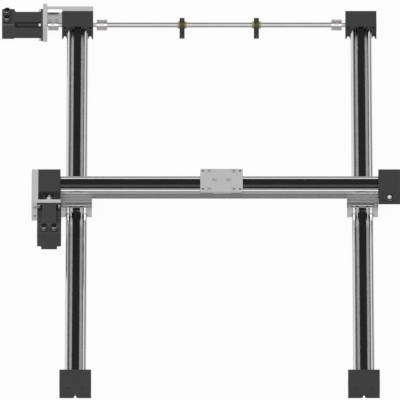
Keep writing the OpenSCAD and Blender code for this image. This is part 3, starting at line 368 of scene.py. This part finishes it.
def addPiece(name, surfaces, body, standsFor):
    # each surface: a grid of points (rows, columns, 3), whether rows and columns close on themselves, a look;
    # face (i, j) joins the points (i, j), (i+1, j), (i+1, j+1), (i, j+1)
    points, quads, skins, used, first = [], [], [], [], 0
    for grid, wrapRows, wrapColumns, look in surfaces:
        rows, columns = grid.shape[:2]
        i, j = np.meshgrid(np.arange(rows - (not wrapRows)), np.arange(columns - (not wrapColumns)),
                           indexing="ij")
        i2, j2 = (i + 1) % rows, (j + 1) % columns
        faces = np.stack([i * columns + j, i2 * columns + j, i2 * columns + j2, i * columns + j2], -1)
        faces = faces.reshape(-1, 4)
        if look not in used:
            used.append(look)
        points.append(grid.reshape(-1, 3))
        quads.append(faces + first)
        skins.append(np.full(len(faces), used.index(look)))
        first += rows * columns
    points, quads, skins = np.concatenate(points), np.concatenate(quads), np.concatenate(skins)
    mesh = bpy.data.meshes.new(name)
    mesh.vertices.add(len(points))
    mesh.vertices.foreach_set("co", points.astype(np.float32).ravel())
    mesh.loops.add(quads.size)
    mesh.loops.foreach_set("vertex_index", quads.astype(np.int32).ravel())
    mesh.polygons.add(len(quads))
    mesh.polygons.foreach_set("loop_start", np.arange(0, quads.size, 4, dtype=np.int32))
    mesh.polygons.foreach_set("material_index", skins.astype(np.int32))
    mesh.update(calc_edges=True)
    for look in used:
        mesh.materials.append(mats[look])
    tidyMesh(mesh, merged["points"], merged["curveAngle"])
    piece = bpy.data.objects.new(name, mesh)
    bpy.context.scene.collection.objects.link(piece)
    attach(piece, body)
    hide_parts(*standsFor)


def tidyMesh(mesh, mergeWithin, smoothAngle, dissolve=False):
    # joins points that coincide, merges flat faces if asked, turns faces outwards and marks sharp edges
    shape = bmesh.new()
    shape.from_mesh(mesh)
    bmesh.ops.remove_doubles(shape, verts=shape.verts, dist=mergeWithin)
    if dissolve:
        bmesh.ops.dissolve_limit(shape, angle_limit=math.radians(merged["flatWithin"]), verts=shape.verts,
                                 edges=shape.edges)
    bmesh.ops.recalc_face_normals(shape, faces=shape.faces)
    shape.to_mesh(mesh)
    shape.free()
    mesh.polygons.foreach_set("use_smooth", np.ones(len(mesh.polygons), dtype=bool))
    mesh.set_sharp_from_angle(angle=math.radians(smoothAngle))


def turned(profile, centre, axis, segments=64, ripples=0):
    # a profile of (height, radius, ripple) carried round an axis:
    # centre + axis * height + (radius + ripple * cos(ripples * angle)) * outwards,
    # where outwards = side * cos(angle) + up * sin(angle)
    profile = np.array([(*p, 0.0)[:3] for p in profile]) * mm
    angle = (np.arange(segments) * 2 * math.pi / segments)[:, None, None]
    axis = np.array(axis, float)
    side = np.roll(axis, 1)
    up = np.cross(axis, side)
    radius = profile[None, :, 1:2] + profile[None, :, 2:3] * np.cos(ripples * angle)
    outwards = np.cos(angle) * side + np.sin(angle) * up
    return np.array(centre) + profile[None, :, 0:1] * axis + radius * outwards


# guide shafts, cross shaft and journals: turned rods with chamfered ends; gauge lies between guide shafts
shafts = dict(chamfer=0.7, gauge=40.0)


def rod(length, radius, chamfer):
    h = length / 2
    return [(-h, 0), (-h, radius - chamfer), (-h + chamfer, radius), (h - chamfer, radius),
            (h, radius - chamfer), (h, 0)]


guides = {"rail_shafts_y": (("rail_left", "rail_right"), (0, 1, 0), "frame", "shaftAlongY"),
          "rail_shafts_x": (("rail_x",), (1, 0, 0), "bridge", "shaftAlongXPaintedShade")}
for node, (rails, axis, body, look) in guides.items():
    whole, size = middle(node)
    surfaces = []
    for rail in rails:
        centre, railSize = middle(rail)
        for s in (-1, 1):
            place = np.array([centre[0], centre[1], whole[2]])
            place += s * shafts["gauge"] / 2 * mm * np.array((axis[1], axis[0], 0))
            grid = turned(rod(railSize.max() / mm, size[2] / 2 / mm, shafts["chamfer"]), place, axis)
            surfaces.append((grid, True, False, look))
    addPiece(node + "_ground", surfaces, body, [node])
rods = {"cross_shaft": ("cross_drive", "shaftAlongXPaintedShade"), "idler_journal_left": ("idler_left", "shaftAlongXPaintedShade"),
        "idler_journal_right": ("idler_right", "shaftAlongXPaintedShade"),
        "idler_journal_x": ("bridge_idler", "shaftAlongY"), "drive_journal_x": ("bridge_drive", "shaftAlongY")}
for node, (body, look) in rods.items():
    centre, size = middle(node)
    axis = np.zeros(3)
    axis[size.argmax()] = 1
    grid = turned(rod(size.max() / mm, size.min() / 2 / mm, shafts["chamfer"]), centre, axis)
    addPiece(node + "_turned", [(grid, True, False, look)], body, [node])
print("shafts turned")


# toothed belts: closed loops with rounded teeth; toothShares are places along one pitch, from -0.5 to 0.5
belts = dict(pitch=5.0, pulleyTeeth=20, toothHeight=1.2, toothFoot=0.38, toothFlank=0.14,
             toothShares=(-0.5, -0.38, -0.335, -0.285, -0.24, 0.24, 0.285, 0.335, 0.38),
             backOverCords=0.9, cords=0.6, edge=0.35)


def beltLoop(centre, strand, back, width, along):
    # runs along the upper strand, round one pulley, back along the lower strand and round the other;
    # depth of a tooth = height * smoothstep((foot - |share of a pitch|) / flank)
    b = belts
    n, half = round(strand / b["pitch"]), b["pulleyTeeth"] // 2
    shares = np.array(b["toothShares"])
    q = (np.arange(2 * n + 2 * half)[:, None] + shares).ravel()
    rise = np.clip((b["toothFoot"] - np.abs(shares)) / b["toothFlank"], 0, 1)
    depth = np.tile(b["toothHeight"] * rise ** 2 * (3 - 2 * rise), 2 * n + 2 * half)
    q = np.mod(q, 2 * n + 2 * half)
    turn = math.pi / half
    parts = [q < n, q < n + half, q < 2 * n + half, q >= 2 * n + half]
    angle = np.select(parts, [math.pi / 2 + 0 * q, math.pi / 2 - (q - n) * turn, -math.pi / 2 + 0 * q,
                              -math.pi / 2 - (q - 2 * n - half) * turn])
    start = np.select(parts, [-strand / 2 + q * strand / n, strand / 2 + 0 * q,
                              strand / 2 - (q - n - half) * strand / n, -strand / 2 + 0 * q])
    inner = back - b["backOverCords"] - b["cords"] - depth
    e, w = b["edge"], width / 2
    outer = np.full_like(inner, back)
    across = np.array([-w + e, w - e, w, w, w - e, -w + e, -w, -w])
    radius = np.stack([outer, outer, outer - e, inner + e, inner, inner, inner + e, outer - e], 1)
    run = start[:, None] + radius * np.cos(angle)[:, None]
    rise = radius * np.sin(angle)[:, None]
    side = np.broadcast_to(across, run.shape)
    flat = np.stack([side, run, rise] if along == 1 else [-run, side, rise], -1)
    return np.array(centre) + flat * mm


for node, body in {"belt_left": "frame", "belt_right": "frame", "belt_x": "bridge"}.items():
    centre, size = middle(node)
    along = 1 if size[1] > size[0] else 0
    loop = beltLoop(centre, (size[along] - size[2]) / mm, size[2] / 2 / mm, size[1 - along] / mm, along)
    addPiece(node + "_toothed", [(loop, True, True, "beltRubber")], body, [node])
print("belts toothed")


# ball bearings in the end blocks: two races and a dark seal between them
bearing = dict(outer=13.0, bore=5.02, width=8.0, outerRace=2.1, innerRace=2.0, chamfer=0.35, recess=2.0,
               sealSink=0.35, sealGap=0.05, sealChamfer=0.5, segments=48)


def ringProfile(low, high, width, chamfer):
    h = width / 2
    return [(-h, low + chamfer), (-h, high - chamfer), (-h + chamfer, high), (h - chamfer, high),
            (h, high - chamfer), (h, low + chamfer), (h - chamfer, low), (-h + chamfer, low)]


sealed = {"block_bearings_y": (("drive_block_left", "drive_block_right", "idler_block_left",
                                "idler_block_right"), (1, 0, 0), "frame"),
          "block_bearings_x": (("drive_block_x", "idler_block_x"), (0, 1, 0), "bridge")}
for node, (blocks, axis, body) in sealed.items():
    b = bearing
    raceIn, raceOut = b["bore"] + b["innerRace"], b["outer"] - b["outerRace"]
    rings = [(ringProfile(raceOut, b["outer"], b["width"], b["chamfer"]), "bearingSteel"),
             (ringProfile(b["bore"], raceIn, b["width"], b["chamfer"]), "bearingSteel"),
             (ringProfile(raceIn + b["sealGap"], raceOut - b["sealGap"], b["width"] - 2 * b["sealSink"],
                          b["sealChamfer"]), "bearingSeal")]
    surfaces = []
    for block in blocks:
        centre, size = middle(block)
        reach = size[0 if axis[0] else 1] / 2 - (b["recess"] + b["width"] / 2) * mm
        for s in (-1, 1):
            place = centre + s * reach * np.array(axis)
            surfaces += [(turned(profile, place, axis, b["segments"]), True, True, look)
                         for profile, look in rings]
    addPiece(node + "_sealed", surfaces, body, [node])
print("bearings sealed")


# motor connectors: knurled shell, black face ring, insert and four contacts
connector = dict(spacing=23.4, height=12.0, radius=7.5, bore=4.5, floor=3.5, faceHeight=1.1, insertTop=6.0,
                 contacts=4, contactFoot=5.0, contactRadius=0.5, contactTop=8.0, contactRing=2.14, ripples=36,
                 faceSegments=72, insertSegments=40, contactSegments=16)


def connectorShell():
    # base flange, neck, knurled nut and a short thread, up to the seat of the face ring
    r, bore, floor = (connector[key] for key in ("radius", "bore", "floor"))
    seat = connector["height"] - connector["faceHeight"]
    thread = [(8.9 + 0.35 * k, r - 0.1 - 0.35 * (k % 2)) for k in range(6)]
    return [(0, 0), (0, r + 0.5), (0.3, r + 0.7), (2.6, r + 0.7), (3.0, r + 0.4), (3.2, r - 0.3),
            (4.4, r - 0.3), (4.7, r + 0.15, 0.12), (8.2, r + 0.15, 0.12), (8.5, r - 0.25), *thread,
            (seat, r - 0.3), (seat, bore - 0.1), (floor, bore - 0.1), (floor, 0)]


def connectorFace():
    # black ring on the shell's seat, round the bore
    r, top, bore = (connector[key] for key in ("radius", "height", "bore"))
    seat = top - connector["faceHeight"]
    return [(seat, bore), (seat, r - 0.3), (top - 0.4, r - 0.3), (top, r - 0.7), (top, bore + 0.4),
            (top - 0.4, bore)]


for node, body in {"y_motor_connectors": "frame", "x_motor_connectors": "bridge"}.items():
    centre, size = middle(node)
    apart = np.array((0, 1, 0)) if size[1] > size[0] else np.array((1, 0, 0))
    base = np.array((centre[0], centre[1], centre[2] - size[2] / 2))
    c, up, surfaces = connector, (0, 0, 1), []
    insert = [(c["floor"], 0), (c["floor"], c["bore"] - 0.1), (c["insertTop"] - 0.4, c["bore"] - 0.1),
              (c["insertTop"], c["bore"] - 0.5), (c["insertTop"], 0)]
    contact = [(c["contactFoot"], 0), (c["contactFoot"], c["contactRadius"]),
               (c["contactTop"] - 0.4, c["contactRadius"]), (c["contactTop"], c["contactRadius"] / 2),
               (c["contactTop"], 0)]
    for s in (-1, 1):
        foot = base + s * c["spacing"] / 2 * mm * apart
        shell = turned(connectorShell(), foot, up, 4 * c["ripples"], c["ripples"])
        surfaces += [(shell, True, False, "connectorShell"),
                     (turned(connectorFace(), foot, up, c["faceSegments"]), True, True, "connectorInsert"),
                     (turned(insert, foot, up, c["insertSegments"]), True, False, "connectorInsert")]
        for k in range(c["contacts"]):
            turn = (k + 0.5) * 2 * math.pi / c["contacts"]
            pin = foot + c["contactRing"] * mm * np.array((math.cos(turn), math.sin(turn), 0))
            surfaces.append((turned(contact, pin, up, c["contactSegments"]), True, False, "contactGold"))
    addPiece(node + "_round", surfaces, body, [node])
print("connectors made")


# machined parts with their edges broken: a merged copy of the solid, then a bevel as wide as its key, in mm
softened = {
    0.5: ["y_bracket_end_plate", "y_motor_plate", "x_bracket_end_plate", "x_motor_plate", "adapter_left",
          "adapter_right", "drive_block_left", "drive_block_right", "drive_block_x", "idler_block_left",
          "idler_block_right", "idler_block_x", "carriage_left", "carriage_right", "carriage_x"],
    0.35: ["y_motor", "x_motor", "shaft_supports", "coupling_hubs_y", "coupling_hubs_x", "bearing_housings_y",
           "bearing_housings_x"],
    0.2: ["frame_screws", "bridge_screws", "tool_carriage_screws", "coupling_spiders_y", "coupling_spider_x",
          "support_bushes"],
}
pocket = dict(plate="y_bracket_end_plate", before="y_motor_plate", after="drive_block_left", chamfer=4.0,
              flatAngle=0.5)


def millPocket(mesh):
    # chamfer along the plate's inner top edge, between the motor plate and the drive block: four planes cut
    # a corner strip free, and a sloped face takes the place of its top and side. An end gets a triangle, or
    # loses its corner point where one face is left there. The end at the motor plate isn't closed, and of
    # 2.6, 3.2 and 4 mm only 4 gave a good sloped face.
    low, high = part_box(pocket["plate"])
    start, end = sorted((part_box(pocket["before"])[1][0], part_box(pocket["after"])[0][0]))
    wall, slope = low[1], mm * pocket["chamfer"]
    cuts = [(0, start), (0, end), (1, wall + slope), (2, high[2] - slope)]
    shape = bmesh.new()
    shape.from_mesh(mesh)
    for direction, place in cuts:
        normal = Vector([float(k == direction) for k in range(3)])
        bmesh.ops.bisect_plane(shape, geom=shape.verts[:] + shape.edges[:] + shape.faces[:], dist=1e-6,
                               plane_co=normal * place, plane_no=normal)
    near = 1e-5
    depth = slope + near
    inStrip = [face for face in shape.faces if all(
        start - near < v.co.x < end + near and abs(v.co.y - wall) < depth and v.co.z > high[2] - depth
        for v in face.verts)]
    strips = [[face for face in inStrip if abs(face.normal.z) > 0.9],
              [face for face in inStrip if abs(face.normal.z) < 0.1]]
    topStrip, sideStrip = [
        faces[0] if len(faces) == 1 else bmesh.ops.dissolve_faces(shape, faces=faces)["region"][0]
        for faces in strips]
    upper = sorted((v for v in topStrip.verts if abs(v.co.y - wall) > near), key=lambda v: v.co.x)
    lower = sorted((v for v in sideStrip.verts if v.co.z < high[2] - near), key=lambda v: v.co.x)
    corner = sorted((v for v in topStrip.verts if v not in upper), key=lambda v: v.co.x)
    bmesh.ops.delete(shape, geom=[topStrip, sideStrip], context="FACES_ONLY")
    for edge in [edge for edge in shape.edges if not edge.link_faces]:
        shape.edges.remove(edge)
    shape.faces.new(upper + lower[::-1])
    for k in (0, -1):
        if len(corner[k].link_faces) == 1:
            bmesh.ops.dissolve_verts(shape, verts=[corner[k]])
        else:
            shape.faces.new([corner[k], upper[k], lower[k]])
    shape.to_mesh(mesh)
    shape.free()


brokenEdge = dict(segments=2, fromAngle=35.0)


def breakEdges(node, width):
    # the plate with the pocket is shaded flat, so that its sloped face stays one even tone
    mesh = nodes[node].data.copy()
    mesh.name = node + "_broken"
    tidyMesh(mesh, merged["solids"], merged["solidAngle"], dissolve=True)
    hasPocket = node == pocket["plate"]
    if hasPocket:
        millPocket(mesh)
        tidyMesh(mesh, merged["solids"], pocket["flatAngle"], dissolve=True)
        mesh.polygons.foreach_set("use_smooth", [False] * len(mesh.polygons))
    piece = bpy.data.objects.new(node + "_broken", mesh)
    bpy.context.scene.collection.objects.link(piece)
    bevel = piece.modifiers.new("brokenEdges", "BEVEL")
    bevel.width, bevel.segments, bevel.limit_method = width * mm, brokenEdge["segments"], "ANGLE"
    bevel.angle_limit, bevel.harden_normals = math.radians(brokenEdge["fromAngle"]), not hasPocket
    bevel.use_clamp_overlap, bevel.miter_outer = True, "MITER_ARC"
    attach(piece, bodyOf[node])
    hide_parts(node)


for width, names in softened.items():
    for node in names:
        breakEdges(node, width)
print("edges broken on", sum(len(names) for names in softened.values()), "parts")


# floor, world and lamp; each strip of the room goes from none to full and back to none over its four places
studio = dict(floorSize=12.0, floorColour=0.62, floorWhite=0.95, floorInGloss=0.75, skyLight=0.78,
              ceilingShade=0.92, frontStrip=(-0.36, -0.26, -0.16, -0.1), rearStrip=(0.1, 0.16, 0.32, 0.44),
              stripHeight=(0.5, 0.8), sideShade=0.68, sideFrom=(0.0, 0.25), sideBehind=(0.1, 0.4),
              frontCard=2.1, cardHeight=(0.42, 0.58), cardFront=(-0.5, -0.3), cardSides=(0.5, 0.8))
floorMesh = bpy.data.meshes.new("floor")
h = studio["floorSize"] / 2
low = cadBox[0].z
floorMesh.from_pydata([(-h, -h, low), (h, -h, low), (h, h, low), (-h, h, low)], [], [(0, 1, 2, 3)])
floor = bpy.data.objects.new("floor", floorMesh)
bpy.context.scene.collection.objects.link(floor)
mat, tree = newTree("paleFloor")
path = put(tree, "ShaderNodeLightPath").outputs
paper = put(tree, "ShaderNodeBsdfDiffuse", {"Color": (*[studio["floorColour"]] * 3, 1)}).outputs[0]
white = put(tree, "ShaderNodeEmission", {"Color": (1, 1, 1, 1), "Strength": 1.0}).outputs[0]
reflected = mathNode(tree, "MAXIMUM", path["Is Glossy Ray"], path["Is Transmission Ray"])
seen = mathNode(tree, "MAXIMUM", mathNode(tree, "MULTIPLY", path["Is Camera Ray"], studio["floorWhite"]),
                mathNode(tree, "MULTIPLY", reflected, studio["floorInGloss"]))
out = put(tree, "ShaderNodeOutputMaterial")
tree.links.new(put(tree, "ShaderNodeMixShader", {0: seen, 1: paper, 2: white}).outputs[0], out.inputs[0])
floorMesh.materials.append(mat)
floor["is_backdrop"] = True


def strip(tree, value, places):
    rise = smoothStep(tree, value, *places[:2])
    return mathNode(tree, "MULTIPLY", rise, smoothStep(tree, value, *places[2:], 1.0, 0.0))


# white round the object; reflections show two darker strips of ceiling and a darker right rear wall, and a
# bright front card
world = bpy.data.worlds.new("studio")
bpy.context.scene.world = world
world.use_nodes = True
tree = world.node_tree
tree.nodes.clear()
path = put(tree, "ShaderNodeLightPath").outputs
aimed = put(tree, "ShaderNodeSeparateXYZ", {0: put(tree, "ShaderNodeTexCoord").outputs["Generated"]}).outputs
strips = [strip(tree, aimed["Y"], studio[name]) for name in ("frontStrip", "rearStrip")]
ceiling = mathNode(tree, "MULTIPLY", mathNode(tree, "ADD", *strips),
                   smoothStep(tree, aimed["Z"], *studio["stripHeight"]))
ceiling = mathNode(tree, "SUBTRACT", 1.0, mathNode(tree, "MULTIPLY", ceiling, studio["ceilingShade"]))
rightSide = smoothStep(tree, aimed["X"], *studio["sideFrom"], 0.0, studio["sideShade"])
rightSide = mathNode(tree, "MULTIPLY", rightSide, smoothStep(tree, aimed["Y"], *studio["sideBehind"]))
room = mathNode(tree, "MULTIPLY", ceiling, mathNode(tree, "SUBTRACT", 1.0, rightSide))
card = mathNode(tree, "MULTIPLY", smoothStep(tree, aimed["Z"], *studio["cardHeight"]),
                smoothStep(tree, aimed["Y"], *studio["cardFront"], 1.0, 0.0))
outwards = mathNode(tree, "ABSOLUTE", aimed["X"])
card = mathNode(tree, "MULTIPLY", card, smoothStep(tree, outwards, *studio["cardSides"], 1.0, 0.0))
room = mathNode(tree, "ADD", room, mathNode(tree, "MULTIPLY", card, studio["frontCard"]))
reflected = mathNode(tree, "MAXIMUM", path["Is Glossy Ray"], path["Is Transmission Ray"])
lit = put(tree, "ShaderNodeMapRange", {
    "Value": reflected, "To Min": studio["skyLight"], "To Max": room}).outputs[0]
strength = put(tree, "ShaderNodeMapRange", {
    "Value": path["Is Camera Ray"], "To Min": lit, "To Max": 1.0}).outputs[0]
sky = put(tree, "ShaderNodeBackground", {"Color": (1, 1, 1, 1), "Strength": strength})
out = put(tree, "ShaderNodeOutputWorld")
tree.links.new(sky.outputs[0], out.inputs[0])


keyBox = dict(place=(-2.2, -2.6, 4.2), size=2.5, power=60.0)
lampData = bpy.data.lights.new("keyBox", "AREA")
lampData.shape, lampData.size, lampData.energy = "SQUARE", keyBox["size"], keyBox["power"]
lamp = bpy.data.objects.new("keyBox", lampData)
lamp.location = keyBox["place"]
lamp.rotation_mode = "QUATERNION"
lamp.rotation_quaternion = (-Vector(keyBox["place"])).to_track_quat("-Z", "Y")
lamp.visible_camera = False
bpy.context.scene.collection.objects.link(lamp)
print("studio ready")

size = {"cad": [list(c) for c in cadBox], "visual": [list(c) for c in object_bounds()]}
